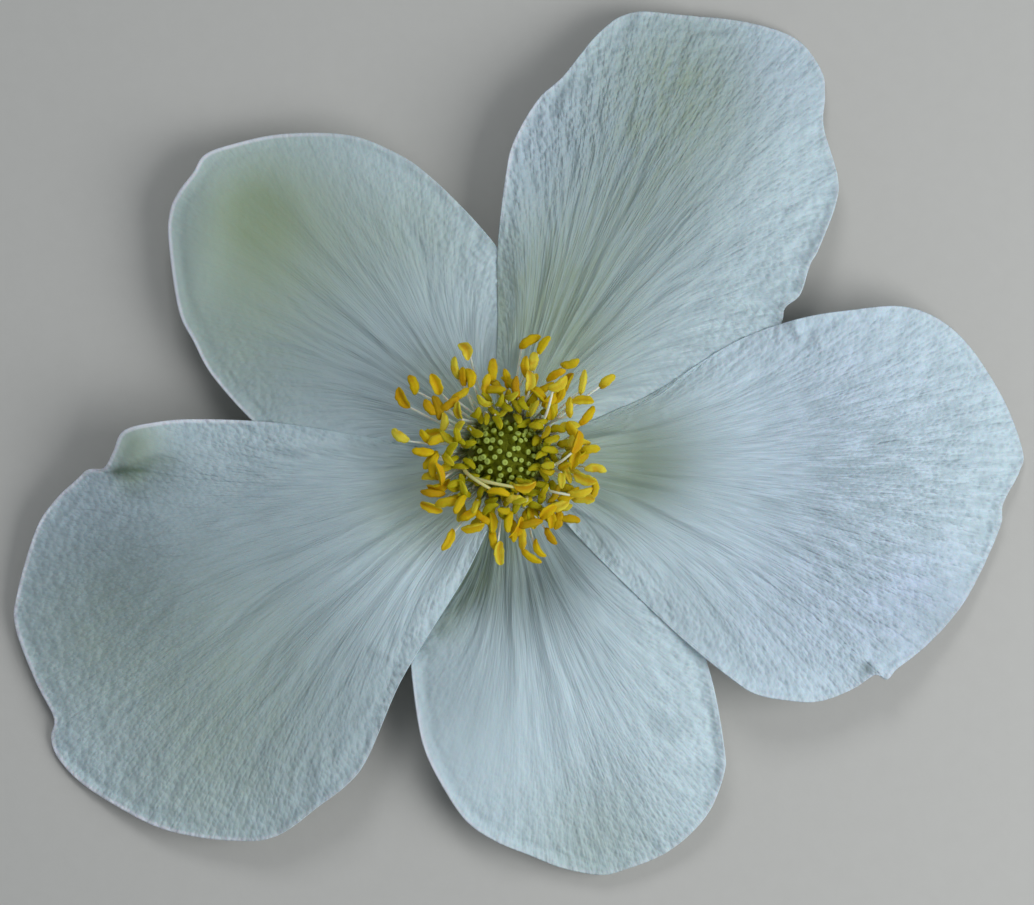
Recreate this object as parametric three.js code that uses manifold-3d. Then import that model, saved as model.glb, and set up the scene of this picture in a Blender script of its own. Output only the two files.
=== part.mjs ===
// Anemone flower, picked and laid face up: five white tepals, a ring of golden stamens
// and a green head of carpels on a receptacle with a short cut stalk.
// Millimetres, +Z up. The flower is drawn round its own axis at x = 0, y = 0 with the
// surface that it lies on at z = 0, and is moved at the end so that the origin is the
// middle of the bottom of its box.
import * as THREE from 'three';
import { mergeVertices } from 'three/addons/utils/BufferGeometryUtils.js';
import Module from 'manifold-3d';

const wasm = await Module();
wasm.setup();

// Receptacle and stalk
const STALK_RADIUS = 0.95;
const STALK_BOTTOM = 0.2;
const SHOULDER_HEIGHT = 4.9;
const RECEPTACLE_RADIUS = 2.5;
const BOSS_RADIUS = 1.45;
const BOSS_HEIGHT = 5.9;

// Tepals: every height is that of the middle of the blade
const BLADE_THICKNESS = 0.7;
const CLAW_RADIUS = 2.8;
const CLAW_HEIGHT = 2.6;
const BOWL_RISE = 1.3;
const BOWL_LENGTH = 4;
const CREST_RADIUS = 8;
const DROOP_LENGTH = 22;
const VEIN_BEND = 0.45;
const BLADE_ROWS = 8;
const ROW_CROWDING = 1.3;

// Carpel head
const HEAD_MIDDLE = 7.1;
const HEAD_RADIUS = 1.85;
const HEAD_RISE = 1.7;
const HEAD_BASE_RADIUS = 1.3;
const CARPEL_COUNT = 75;
const CARPEL_LOWEST = -0.15;
const CARPEL_LENGTH = 0.9;
const CARPEL_RADIUS = 0.2;
const CARPEL_TIP_RADIUS = 0.14;
const CARPEL_UPTURN = 0.15;
const HEAD_SIDES = 16;
const HEAD_BANDS = 6;
const GOLDEN_ANGLE = 137.508;

// Stamens
const RING_INNER_RADIUS = 1.75;
const RING_OUTER_RADIUS = 2.6;
const RING_TOP = 5.6;
const ROOT_RADIUS = 2.28;
const ROOT_HEIGHT = 5.25;
const FILAMENT_RADIUS = 0.15;
const FILAMENT_STEPS = 2;
const ANTHER_LENGTH = 1.4;
const ANTHER_WIDTH = 0.62;
const INNER_REACH = 3.1;
const INNER_HEIGHT = 8.7;
const OUTWARD_DROP = 0.35;
const BEND_RADIUS = 2.5;
const BEND_SHARE = 0.2;
const BEND_DEPTH = 1;

// How far the stamens stray from an even order: millimetres, degrees, or a share of a step
const INNER_SHIFT = 0.3;
const INNER_TURN = 55;
const REACH_SPREAD = 0.2;
const HEIGHT_SPREAD = 0.25;
const THREAD_SWAY = 4;
const ANTHER_TILT = 0.25;

// Round pieces have this many sides, and where pieces are joined shorter edges are closed up
const ROUND_SIDES = 24;
const SMALLEST_EDGE = 0.01;

// One row a tepal: its axis and the span of its claw in degrees, its lift over the lowest
// tepals on its clockwise and its counter-clockwise side, its droop, local folds as
// [x, y, width, rise], and its outline from the clockwise side of the claw round to the other.
const TEPALS = [
  {
    name: 'tepal_upper_left',
    axis: 135,
    claw: [101, 169],
    lift: [0, 0],
    droop: 4.4,
    folds: [[-19.5, 17, 4.5, 1.4], [-12, 12, 5, -0.4]],
    outline: [
      [-0.7, 5.0], [0.4, 7.6], [0.5, 10.4], [-0.4, 12.2], [-1.5, 13.6], [-3.0, 15.2],
      [-4.6, 16.7], [-6.3, 17.9], [-9.3, 19.1], [-13.4, 19.2], [-16.6, 18.5], [-18.0, 17.9],
      [-18.6, 16.9], [-19.5, 15.7], [-20.0, 14.6], [-20.1, 12.8], [-19.5, 8.7], [-18.6, 6.8],
      [-17.5, 4.8], [-15.2, 2.2], [-13.5, 0.8], [-11.1, -0.3], [-8.1, -0.9], [-4.5, -0.8],
    ],
  },
  {
    name: 'tepal_upper_right',
    axis: 64,
    claw: [33, 96],
    lift: [0.2, 1.15],
    droop: 3.83,
    folds: [[20, 12, 3.5, 0.5], [12, 17, 5, 0.5]],
    outline: [
      [4.2, 1.0], [9.3, 1.8], [11.7, 3.0], [14.1, 4.5], [16.3, 7.5], [16.7, 8.8], [17.6, 9.6],
      [18.2, 11.4], [18.7, 12.3], [19.8, 15.1], [19.9, 16.8], [19.1, 19.7], [19.2, 21.6],
      [19.0, 23.1], [17.5, 25.0], [14.5, 26.0], [10.7, 26.4], [7.6, 26.5], [5.6, 25.2],
      [3.5, 22.6], [2.0, 21.2], [0.6, 18.8], [0.1, 16.8], [-0.4, 12.3], [-0.4, 7.5], [-0.2, 4.8],
    ],
  },
  {
    name: 'tepal_right',
    axis: -7,
    claw: [-43, 30],
    lift: [1.12, 1.5],
    droop: 4.49,
    folds: [[22.5, -12.5, 3, 0.7], [24, -3, 5, 0.5]],
    outline: [
      [3.3, -3.6], [4.8, -5.3], [7.8, -8.3], [10.9, -11.2], [13.5, -13.3], [14.9, -14.2],
      [16.7, -14.6], [18.7, -14.7], [20.7, -14.0], [22.1, -13.1], [22.8, -13.4], [23.4, -12.8],
      [25.1, -11.5], [26.7, -9.9], [28.1, -7.9], [29.7, -4.4], [29.9, -2.9], [30.9, -1.0],
      [31.1, 0.3], [29.8, 3.6], [27.2, 7.2], [24.2, 8.8], [20.5, 8.6], [17.2, 8.0], [13.5, 6.6],
      [9.1, 3.8], [6.5, 2.6], [4.2, 1.6],
    ],
  },
  {
    name: 'tepal_lower',
    axis: -79,
    claw: [-113, -45],
    lift: [0, 0],
    droop: 4.2,
    folds: [[3, -22, 4.5, -0.3], [9, -18, 4, 0.4]],
    outline: [
      [-2.4, -3.6], [-4.5, -7.2], [-5.6, -10.2], [-5.6, -12.3], [-5.2, -15.7], [-4.7, -17.8],
      [-3.6, -20.0], [-2.3, -21.9], [-0.6, -23.1], [1.5, -24.0], [3.5, -24.8], [5.8, -25.2],
      [7.4, -24.8], [9.4, -24.0], [11.0, -22.8], [12.3, -21.2], [13.1, -19.0], [13.1, -17.6],
      [12.4, -13.7], [11.3, -10.5], [9.9, -8.4], [8.1, -6.3], [5.7, -4.2], [3.6, -3.0],
    ],
  },
  {
    name: 'tepal_left',
    axis: 205,
    claw: [169, 265],
    lift: [1.12, 1.12],
    droop: 3.77,
    folds: [[-22, 0.5, 3, 0.7], [-18, -8, 5, 0.5]],
    outline: [
      [-4.5, 0.4], [-9.1, 1.2], [-13.7, 1.9], [-18.4, 2.1], [-20.9, 1.9], [-22.7, 1.4],
      [-23.3, 0.2], [-23.9, -0.8], [-24.9, -0.9], [-25.6, -1.5], [-26.9, -2.7], [-28.1, -4.5],
      [-29.3, -8.4], [-29.4, -10.4], [-28.2, -13.6], [-27.1, -15.8], [-27.3, -17.0],
      [-26.9, -18.2], [-25.5, -19.7], [-23.3, -21.1], [-20.9, -22.3], [-18.4, -22.9],
      [-16.0, -23.1], [-14.4, -23.0], [-13.0, -22.4], [-11.2, -21.0], [-9.4, -19.6],
      [-8.2, -18.0], [-6.4, -13.8], [-4.7, -10.9], [-2.4, -7.2], [-1.1, -4.5],
    ],
  },
];

// Outer stamens: azimuth and reach of the anther from the flower's axis, and the heading
// of its long side, all seen from above
const OUTER_STAMENS = [
  [151, 6.9, 118], [142, 6.8, 108], [134, 5.8, 113], [120, 5.9, 101], [110, 6.6, 120],
  [113, 5.0, 100], [118, 5.2, 95], [148, 5.2, 135], [144, 4.8, 105], [137, 4.4, 35],
  [126, 4.4, 30], [170, 6.3, 146], [168, 4.7, 139], [178, 4.8, 176], [98, 5.1, 90],
  [78, 6.9, 29], [71, 6.9, 57], [73, 5.8, 80], [77, 5.3, 95], [71, 4.6, 87],
  [54, 6.6, 15], [58, 5.6, 30], [49, 5.7, 67], [47, 4.9, 70], [43, 6.3, 80],
  [36, 7.4, 40], [36, 4.7, 90], [35, 5.6, 0], [25, 5.4, 52], [4, 5.0, 8],
  [-8, 5.4, -5], [-17, 4.9, -20], [-21, 5.7, 80], [-28, 5.2, -5], [-44, 4.4, 20],
  [-44, 5.4, -5], [-50, 5.0, 80], [-54, 4.6, 100], [-61, 5.5, -57], [-69, 4.3, 15],
  [-78, 5.0, 92], [-71, 5.9, -60], [-76, 6.2, -35], [-94, 5.8, 92], [-98, 5.0, 100],
  [-114, 4.6, 12], [-123, 6.0, 63], [-152, 4.8, 175], [-145, 5.3, 160], [-141, 4.4, 8],
];

// Inner whorls of stamens, evenly spread: how many, and how far out their anthers are
const INNER_WHORLS = [[18, 3.15], [20, 3.95]];

const { degToRad, lerp, smoothstep, euclideanModulo } = THREE.MathUtils;
const UP = new THREE.Vector3(0, 1, 0);

function polar(radius, degrees) {
  const angle = degToRad(degrees);
  return new THREE.Vector2(radius * Math.cos(angle), radius * Math.sin(angle));
}

// A repeatable spread from -1 to 1 for piece i and purpose k
function jitter(i, k) {
  const wave = Math.sin(i * 127.1 + k * 311.7) * 43758.5453;
  return 2 * (wave - Math.floor(wave)) - 1;
}

function toSolid(geometry) {
  geometry.deleteAttribute('normal');
  geometry.deleteAttribute('uv');
  const merged = mergeVertices(geometry, 1e-4);
  const mesh = new wasm.Mesh({
    numProp: 3,
    vertProperties: merged.attributes.position.array,
    triVerts: new Uint32Array(merged.index.array),
  });
  return new wasm.Manifold(mesh);
}

function toGeometry(solid) {
  const mesh = solid.getMesh();
  const geometry = new THREE.BufferGeometry();
  geometry.setAttribute('position', new THREE.BufferAttribute(mesh.vertProperties, 3));
  geometry.setIndex(new THREE.BufferAttribute(mesh.triVerts, 1));
  return geometry;
}

function joined(solids) {
  return toGeometry(wasm.Manifold.union(solids).asOriginal().simplify(SMALLEST_EDGE));
}

// A closed ring of profile points, as [radius, height], turned round the flower's axis
function turned(profile, sides) {
  const points = profile.map(([radius, height]) => new THREE.Vector2(radius, height));
  return new THREE.LatheGeometry(points, sides).rotateX(Math.PI / 2);
}

// A piece drawn along +Y about its middle, turned to a direction and put in its place
function placed(geometry, direction, position) {
  const turn = new THREE.Quaternion().setFromUnitVectors(UP, direction);
  return geometry.applyQuaternion(turn).translate(position.x, position.y, position.z);
}

// Height of the middle of a tepal over a point of the plan
function tepalHeight(tepal, x, y) {
  const radius = Math.hypot(x, y);
  const azimuth = THREE.MathUtils.radToDeg(Math.atan2(y, x));
  const fromAxis = euclideanModulo(azimuth - tepal.axis + 180, 360) - 180;
  const [start, end] = tepal.claw;
  const side = smoothstep(fromAxis, start - tepal.axis, end - tepal.axis);
  const lift = lerp(tepal.lift[0], tepal.lift[1], side);
  const bowl = BOWL_RISE * (1 - Math.exp((CLAW_RADIUS - radius) / BOWL_LENGTH));
  const beyond = Math.max(radius - CREST_RADIUS, 0) / DROOP_LENGTH;
  let height = CLAW_HEIGHT + lift + bowl - tepal.droop * beyond ** 2;
  for (const [foldX, foldY, width, rise] of tepal.folds) {
    const away = Math.hypot(x - foldX, y - foldY) / width;
    height += rise * Math.exp(-(away ** 2));
  }
  return height;
}

// Plan of a tepal: one vein from the claw to each point of the outline, which leaves the
// claw towards the tip and bends outward to the margin
function tepalVeins(tepal) {
  const outline = tepal.outline.map(([x, y]) => new THREE.Vector2(x, y));
  const along = new THREE.SplineCurve(outline).getLengths(outline.length - 1);
  const whole = along[along.length - 1];
  const axis = polar(1, tepal.axis);
  return outline.map((edge, index) => {
    const root = polar(CLAW_RADIUS, lerp(tepal.claw[0], tepal.claw[1], along[index] / whole));
    const chord = edge.clone().sub(root);
    const heading = axis.clone().lerp(chord.clone().normalize(), VEIN_BEND).normalize();
    const bend = root.clone().addScaledVector(heading, chord.length() / 2);
    return new THREE.QuadraticBezierCurve(root, bend, edge);
  });
}

// A blade of even thickness: the same net of triangles on both faces and a rim round them
function bladeGeometry(tepal) {
  const veins = tepalVeins(tepal);
  const rows = BLADE_ROWS + 1;
  const face = veins.length * rows;
  const positions = [];
  for (const side of [0.5, -0.5]) {
    for (const vein of veins) {
      for (let row = 0; row < rows; row += 1) {
        const point = vein.getPoint((row / BLADE_ROWS) ** ROW_CROWDING);
        const middle = tepalHeight(tepal, point.x, point.y);
        positions.push(point.x, point.y, middle + side * BLADE_THICKNESS);
      }
    }
  }
  const indices = [];
  for (let vein = 0; vein < veins.length - 1; vein += 1) {
    for (let row = 0; row < BLADE_ROWS; row += 1) {
      const a = vein * rows + row;
      const b = a + rows;
      indices.push(a, a + 1, b + 1, a, b + 1, b);
      indices.push(face + a, face + b + 1, face + a + 1, face + a, face + b, face + b + 1);
    }
  }
  const rim = bladeRim(veins.length, rows);
  rim.forEach((a, index) => {
    const b = rim[(index + 1) % rim.length];
    indices.push(face + a, face + b, b, face + a, b, a);
  });
  const geometry = new THREE.BufferGeometry();
  geometry.setAttribute('position', new THREE.Float32BufferAttribute(positions, 3));
  geometry.setIndex(indices);
  return geometry;
}

// Indices round the edge of a blade's upper face, counter-clockwise from above
function bladeRim(veinCount, rows) {
  const last = (veinCount - 1) * rows;
  const rim = [];
  for (let row = 0; row < rows - 1; row += 1) rim.push(row);
  for (let vein = 0; vein < veinCount; vein += 1) rim.push(vein * rows + rows - 1);
  for (let row = rows - 2; row >= 0; row -= 1) rim.push(last + row);
  for (let vein = veinCount - 2; vein > 0; vein -= 1) rim.push(vein * rows);
  return rim;
}

function receptacleGeometry() {
  const profile = [
    [0, STALK_BOTTOM], [STALK_RADIUS, STALK_BOTTOM], [STALK_RADIUS, 1.1], [1.2, 1.5],
    [2.1, 1.9], [RECEPTACLE_RADIUS, 2.3], [RECEPTACLE_RADIUS, SHOULDER_HEIGHT],
    [BOSS_RADIUS, SHOULDER_HEIGHT], [BOSS_RADIUS, BOSS_HEIGHT], [0, BOSS_HEIGHT],
  ];
  return toGeometry(toSolid(turned(profile, ROUND_SIDES)));
}

// One carpel on the head: h is the height on a unit sphere
function carpel(index) {
  const share = (index + 0.5) / CARPEL_COUNT;
  const h = lerp(1, CARPEL_LOWEST, share);
  const across = polar(Math.sqrt(1 - h * h), index * GOLDEN_ANGLE);
  const direction = new THREE.Vector3(across.x, across.y, h);
  const middle = direction.clone().multiply(
    new THREE.Vector3(HEAD_RADIUS, HEAD_RADIUS, HEAD_RISE),
  );
  middle.z += HEAD_MIDDLE;
  direction.z += CARPEL_UPTURN;
  const peg = new THREE.CylinderGeometry(CARPEL_TIP_RADIUS, CARPEL_RADIUS, CARPEL_LENGTH, 5);
  return placed(peg, direction.normalize(), middle);
}

function carpelHeadGeometry() {
  const profile = [[0, BOSS_HEIGHT], [HEAD_BASE_RADIUS, BOSS_HEIGHT]];
  for (let band = 0; band < HEAD_BANDS; band += 1) {
    const point = polar(1, 90 * band / HEAD_BANDS);
    profile.push([HEAD_RADIUS * point.x, HEAD_MIDDLE + HEAD_RISE * point.y]);
  }
  profile.push([0, HEAD_MIDDLE + HEAD_RISE]);
  const solids = [toSolid(turned(profile, HEAD_SIDES))];
  for (let index = 0; index < CARPEL_COUNT; index += 1) solids.push(toSolid(carpel(index)));
  return joined(solids);
}

// Inner stamens as rows like those of the outer list, turned and moved a little each
function innerStamens() {
  const rows = [];
  for (const [count, reach] of INNER_WHORLS) {
    for (let index = 0; index < count; index += 1) {
      const azimuth = 360 * (index + INNER_SHIFT * jitter(index, reach)) / count;
      const heading = azimuth + INNER_TURN * jitter(index, reach + 1);
      rows.push([azimuth, reach + REACH_SPREAD * jitter(index, reach + 2), heading]);
    }
  }
  return rows;
}

// A point over the plan, given by its distance from the axis, azimuth and height
function above(radius, azimuth, height) {
  const plan = polar(radius, azimuth);
  return new THREE.Vector3(plan.x, plan.y, height);
}

// A thread from the ring out to the anther, and the anther on its end
function stamen([azimuth, reach, heading], index) {
  const drop = OUTWARD_DROP * (reach - INNER_REACH);
  const height = INNER_HEIGHT - drop + HEIGHT_SPREAD * jitter(index, 2);
  const bendAzimuth = azimuth + THREAD_SWAY * jitter(index, 1);
  const root = above(ROOT_RADIUS, azimuth, ROOT_HEIGHT);
  const bend = above(BEND_RADIUS + BEND_SHARE * reach, bendAzimuth, height - BEND_DEPTH);
  const end = above(reach, azimuth, height);
  const section = new THREE.Shape([0, 120, 240].map((angle) => polar(FILAMENT_RADIUS, angle)));
  const thread = new THREE.ExtrudeGeometry(section, {
    steps: FILAMENT_STEPS,
    bevelEnabled: false,
    extrudePath: new THREE.QuadraticBezierCurve3(root, bend, end),
  });
  const direction = above(1, heading, ANTHER_TILT * jitter(index, 3)).normalize();
  const sac = new THREE.SphereGeometry(0.5, 5, 3).scale(ANTHER_WIDTH, ANTHER_LENGTH, ANTHER_WIDTH);
  return [toSolid(thread), toSolid(placed(sac, direction, end))];
}

function stamensGeometry() {
  const ring = [
    [RING_INNER_RADIUS, SHOULDER_HEIGHT], [RING_OUTER_RADIUS, SHOULDER_HEIGHT],
    [RING_OUTER_RADIUS, RING_TOP], [RING_INNER_RADIUS, RING_TOP],
    [RING_INNER_RADIUS, SHOULDER_HEIGHT],
  ];
  const solids = [...OUTER_STAMENS, ...innerStamens()].flatMap(stamen);
  return joined([toSolid(turned(ring, ROUND_SIDES)), ...solids]);
}

const tepalWhite = { color: 0xd9e2e2, roughness: 0.6, metalness: 0 };
const stamenGold = { color: 0xc9a227, roughness: 0.55, metalness: 0 };
const carpelGreen = { color: 0x6b7d24, roughness: 0.6, metalness: 0 };
const stalkGreen = { color: 0x7c9455, roughness: 0.7, metalness: 0 };

function piece(name, geometry, look) {
  geometry.computeVertexNormals();
  const mesh = new THREE.Mesh(geometry, new THREE.MeshStandardMaterial(look));
  mesh.name = name;
  return mesh;
}

const flower = new THREE.Group();
flower.add(piece('receptacle_and_stalk', receptacleGeometry(), stalkGreen));
flower.add(piece('carpel_head', carpelHeadGeometry(), carpelGreen));
flower.add(piece('stamens', stamensGeometry(), stamenGold));
for (const tepal of TEPALS) flower.add(piece(tepal.name, bladeGeometry(tepal), tepalWhite));

const box = new THREE.Box3().setFromObject(flower, true);
const centre = box.getCenter(new THREE.Vector3());
flower.position.set(-centre.x, -centre.y, -box.min.z);

export default flower;
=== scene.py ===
"""Looks of an anemone flower, picked and laid face up: five white tepals with fine veins,
golden stamens on pale threads and a green head of carpels, on a receptacle with a short
cut stalk. Shapes are worked out in millimetres round the flower's own axis and are put
into the part's frame, in metres, when a piece is made."""
import math

import bpy
import numpy as np
from mathutils.bvhtree import BVHTree
from mathutils.kdtree import KDTree
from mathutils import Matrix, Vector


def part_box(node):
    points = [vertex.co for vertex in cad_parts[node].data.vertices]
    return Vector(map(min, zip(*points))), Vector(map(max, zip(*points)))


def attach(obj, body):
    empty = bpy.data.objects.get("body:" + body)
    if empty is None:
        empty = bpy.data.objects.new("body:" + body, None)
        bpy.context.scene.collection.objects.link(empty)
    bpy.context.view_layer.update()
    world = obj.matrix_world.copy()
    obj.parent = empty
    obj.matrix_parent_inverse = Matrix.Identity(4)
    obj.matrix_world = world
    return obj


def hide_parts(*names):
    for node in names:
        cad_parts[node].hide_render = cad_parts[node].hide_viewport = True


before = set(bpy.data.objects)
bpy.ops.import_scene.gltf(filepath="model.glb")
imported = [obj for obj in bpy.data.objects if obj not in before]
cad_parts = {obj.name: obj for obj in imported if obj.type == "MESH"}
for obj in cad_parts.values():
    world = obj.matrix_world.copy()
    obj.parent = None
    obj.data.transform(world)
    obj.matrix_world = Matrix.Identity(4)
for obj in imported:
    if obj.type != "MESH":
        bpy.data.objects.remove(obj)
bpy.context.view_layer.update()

MM = 0.001

# Receptacle and stalk
STALK_RADIUS = 0.95
STALK_BOTTOM = 0.2
SHOULDER_HEIGHT = 4.9
RECEPTACLE_RADIUS = 2.5
BOSS_RADIUS = 1.45
BOSS_HEIGHT = 5.9
HAIR_COUNT = 420
HAIR_LENGTH = 0.55
HAIR_RADII = (0.022, 0.006)
HAIR_SPAN = (0.35, 2.4)
HAIR_SPREAD = 0.4
HAIR_TURN = 40
HAIR_SAG = 0.12
HAIR_SUNK = 0.03
HAIR_LOWEST = 0.03
HAIRY_PROFILE = [[0.2, 1, 1.3, 1.7, 1.9, 2.45], [0.95, 0.95, 1.1, 1.7, 2.1, 2.5]]
CUT_EDGE = (0.8, 0.94)
CUT_HEIGHT = 0.5

# Tepals: the solids that the blades stand for
SOLID_THICKNESS = 0.7
CLAW_RADIUS = 2.8
CLAW_HEIGHT = 2.6
BOWL_RISE = 1.3
BOWL_LENGTH = 4
CREST_RADIUS = 8
DROOP_LENGTH = 22
VEIN_BEND = 0.45

# Tepals: the blades themselves. A blade lies closer on those beneath it than its solid does
BLADE_THICKNESS = 0.28
CLAW_THICKNESS = 0.6
CLAW_OVERLAP = 5
RIM_THICKNESS = 0.09
RIM_WIDTH = 1.2
CURL_HEIGHT = 0.3
CURL_UNEVENNESS = 0.7
CURL_WIDTH = 0.5
CURL_RADII = (9, 16)
LIP_EDGE = 0.13
ROOT_INSIDE = 0.5
SETTLE_SHARE = 0.75
SETTLE_RADII = (4, 8, 15, 23)
LAYER_GAP = 0.02
PRESS_WIDTH = 4
PRESSED_THINNING = 0.6
BLUR_PASSES = 40
SOFTENING_PASSES = 6
REACH_SCALE = 24
SIDE_BLEND = (0.3, 0.7)
CLAW_SHARE = 0.2
CRISPNESS_LIMITS = (0.15, 2)
LOWEST = 0.01
BLADE_ROWS = 116
FIRST_FREE_ROW = 10
ROW_CROWDING = 1.35
VEIN_SPACING = 0.9
ROUND_SHARE = 0.8
COLUMNS_PER_VEIN = 4

# Waves of a blade's relief: how many veins one spans, how many follow each other out to
# REACH_SCALE, how far they sway with the veins, and a number that sets their noise apart
SWAYING = (6, 5, 0, 2)
PLEATS = (4, 2.2, 0.3, 0)
RIBS = (2.4, 1.6, 0.4, 6)
BILLOWS = (8, 2.2, 0, 1)
COARSE_STREAKS = (2.4, 3, 0.5, 3)
FINE_STREAKS = (1.2, 7, 1, 5)
CURLS = (7, 0, 0, 7)
CRINKLE_SIZE = 0.65
CRINKLE_NOISE = 4

# Their heights, and where they set in and fade on the way from the claw to the margin
SWAY = 0.9
PLEAT_HEIGHT, PLEAT_SPAN = 0.18, (0.05, 0.2, 0.35, 0.9)
RIB_HEIGHT, RIB_SPAN = 0.08, (0.15, 0.4, 0.7, 1)
BILLOW_HEIGHT, BILLOW_START = 0.24, (0.3, 1)
STREAK_HEIGHT, STREAK_START = 0.042, (0.04, 0.2)
CRINKLE_HEIGHT, CRINKLE_START = 0.042, (0.55, 0.95)
FINER_STREAKS = (0.25, 0.6)

# How dark the painted shade in the furrows of each kind is, and how deep a place must lie to darken
PLEAT_SHADE, PLEAT_DEPTHS = 0.4, (0.1, 0.7)
RIB_SHADE, RIB_DEPTHS = 0.35, (0, 0.8)
STREAK_SHADE, STREAK_DEPTHS = 0.35, (-0.2, 0.9)

# Carpel head
HEAD_MIDDLE = 7.1
HEAD_RADIUS = 1.85
HEAD_RISE = 1.7
HEAD_BASE_RADIUS = 1.3
CORE_SHARE = 0.97
CORE_SPAN = (-40, 88)
CORE_WAVES = (12, 9)
CORE_WAVINESS = 0.03
CARPEL_COUNT = 105
CARPEL_LOWEST = -0.15
CARPEL_UPTURN = 0.15
CARPEL_PROUD = 0.36
PROUD_SPREAD = 0.3
CARPEL_TIP_RADIUS = 0.172
TIP_SPREAD = 0.15
CARPEL_SWAY = 9
CARPEL_LEAN = 0.3
LEANING_SIDE = (15, 95)
LEANING_MORE = 0.6
GOLDEN_ANGLE = 137.508

# Profile of a style, from inside the head to the dimple in its tip: how far out, how wide and
# how pale it is, as shares of the whole
STYLE_REACH = np.array([-0.5, -0.1, 0.25, 0.5, 0.72, 0.88, 0.97, 1, 0.98, 0.94])
STYLE_GIRTH = np.array([1.1, 1, 0.8, 0.82, 0.98, 0.97, 0.8, 0.55, 0.3, 0.1])
STYLE_PALENESS = np.array([0, 0, 0.05, 0.2, 0.6, 0.9, 1, 1, 0.8, 0.6])

# Threads of the stamens and the ring that they stand on
RING_INNER_RADIUS = 1.75
RING_OUTER_RADIUS = 2.6
RING_TOP = 5.6
ROOT_RADIUS = 2.28
ROOT_HEIGHT = 5.25
ROOT_SPREAD = 0.25
ROOT_SWAY = 8
BEND_RADIUS = 2.5
BEND_SHARE = 0.2
BEND_DEPTH = 1
BEND_SWAY = 6
THREAD_RADII = (0.1, 0.062)
THREAD_END = 0.34
THREAD_SUNK = 0.14
THREAD_WINDOW = (112, 160)
WINDOW_RADIUS = 2.7
CROSSING_RISE = 0.2
CROSSING_BEND_RISE = 1.1

# Anthers: where they stand, and how those of the inner ring differ
INNER_REACH = 3.1
INNER_HEIGHT = 8.7
INNER_RING = (3.1, 4.3)
INNER_SIZE = 0.8
INNER_TILT = 0.8
INNER_TILT_SPREAD = 0.5
ANTHER_TILT = 0.25
OUTWARD_DROP = 0.35
HEIGHT_SPREAD = 0.25
WHORL_SPREAD = 0.3
WHORL_TURN = 55
# Olive on the anthers: painted shade in the inner ring and on the lower anthers, and a random
# spread
INNER_OLIVE_PAINTED_SHADE = 0.75
LOWER_OLIVE_PAINTED_SHADE = 0.3
OLIVE_SPREAD = 0.3

# Anthers: their form, and what opening does to it
ANTHER_LENGTH = 1.36
ANTHER_WIDTH = 0.52
ANTHER_DEPTH = 0.44
LENGTH_SPREAD = 0.14
WIDTH_SPREAD = 0.16
LAST_RING = 0.97
END_FULLNESS = (2.6, 0.55)
END_NOTCH = 0.07
BUMP_HEIGHT = 0.06
SIDE_BOW = 0.2
DOWN_BOW = 0.12
GROOVE_WIDTH = 0.3
GROOVE_DEPTH = 0.2
ROLL = 0.5
OPENING = (0.3, 0.8)
OPEN_WIDENING = 0.3
OPEN_FLATTENING = 0.3
OPEN_GROOVE = 0.6
OPEN_CURL = 0.22
OPEN_ROLL = 0.6

# Camera: the width of the photograph at the height of the tepals, and the flower's place in it
PHOTO_WIDTH = 62.04
PHOTO_MIDDLE = (-0.13, -0.5)
FOCUS_HEIGHT = 1.5
LENS = 200
SENSOR_WIDTH = 36

# Lamps: azimuth and elevation in degrees, distance and size in metres, power and colour
LAMPS = {
    "key": (-18, 40, 0.2, 0.16, 0.25, (0.9, 0.96, 1)),
    "top": (98, 46, 0.4, 0.14, 0.3, (0.88, 0.95, 1)),
}
SKY_COLOUR = (0.8, 0.9, 1, 1)
SKY_STRENGTH = 0.22
FLOOR_HALF = 1.5

# One table a tepal: its axis and the span of its claw in degrees, its lift on its clockwise
# and its counter-clockwise side, its droop, how far its margin curls up near the claw and how
# firmly it is pressed on the blades beneath, on each side. Then local folds as [x, y, width,
# rise], and creases as [form, x, y, end x, end y, width, rise], where a groove fades towards
# its end and a lip is raised on the left of its line. Spots of tint, and spots where the
# surface is crisper or smoother, are [x, y, width, strength]. The spots of grey and of shade
# are painted shade. The spots of green are partly the green of the tissue and partly painted
# shade. Last comes the outline, x and y in turn.
UPPER_LEFT = {
    "name": "tepal_upper_left", "axis": 135, "claw": (101, 169),
    "lift": (0, 0), "droop": 4.4, "curl": (0.2, 0.4), "press": (0, 0),
    "folds": [[-19.5, 17, 4.5, 1.4], [-12, 12, 5, -0.4]],
    "creases": [["ridge", -18.9, 9, -17.1, 16.4, 1.4, 0.26]],
    # Painted shade: the grey and shade spots, and some of the green ones
    "green": [
        [-15.2, 14.8, 5.5, 0.55], [-12, 12.5, 6, 0.35], [-17, 7, 6, 0.4], [-5, 13, 4, 0.3],
        [-15.1, 15.1, 2.6, 0.2],
    ],
    "painted_shade_grey": [[-9, 8, 6, 0.4], [-14, 3.5, 5, 0.5], [-15, 12, 8, 0.3]],
    "shade": [[-15, 15, 2, 0.12]],
    "smooth": [[-17, 12, 7, 0.9], [-10, 17, 6, 0.4]],
    "outline": [
        0.6, 4.8, 0.6, 7.6, 0.5, 10.4, -0.4, 12.2, -1.5, 13.6, -3, 15.2, -4.6, 16.7, -6.3, 17.9,
        -9.3, 19.1, -13.4, 19.2, -16.6, 18.5, -18, 17.9, -18.6, 16.9, -19.5, 15.7, -20, 14.6,
        -20.1, 12.8, -19.5, 8.7, -18.6, 6.8, -17.5, 4.8, -15.2, 2.2, -13.5, 0.8, -11.1, -0.3,
        -8.1, -0.9, -4.5, -0.8,
    ],
}
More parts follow.
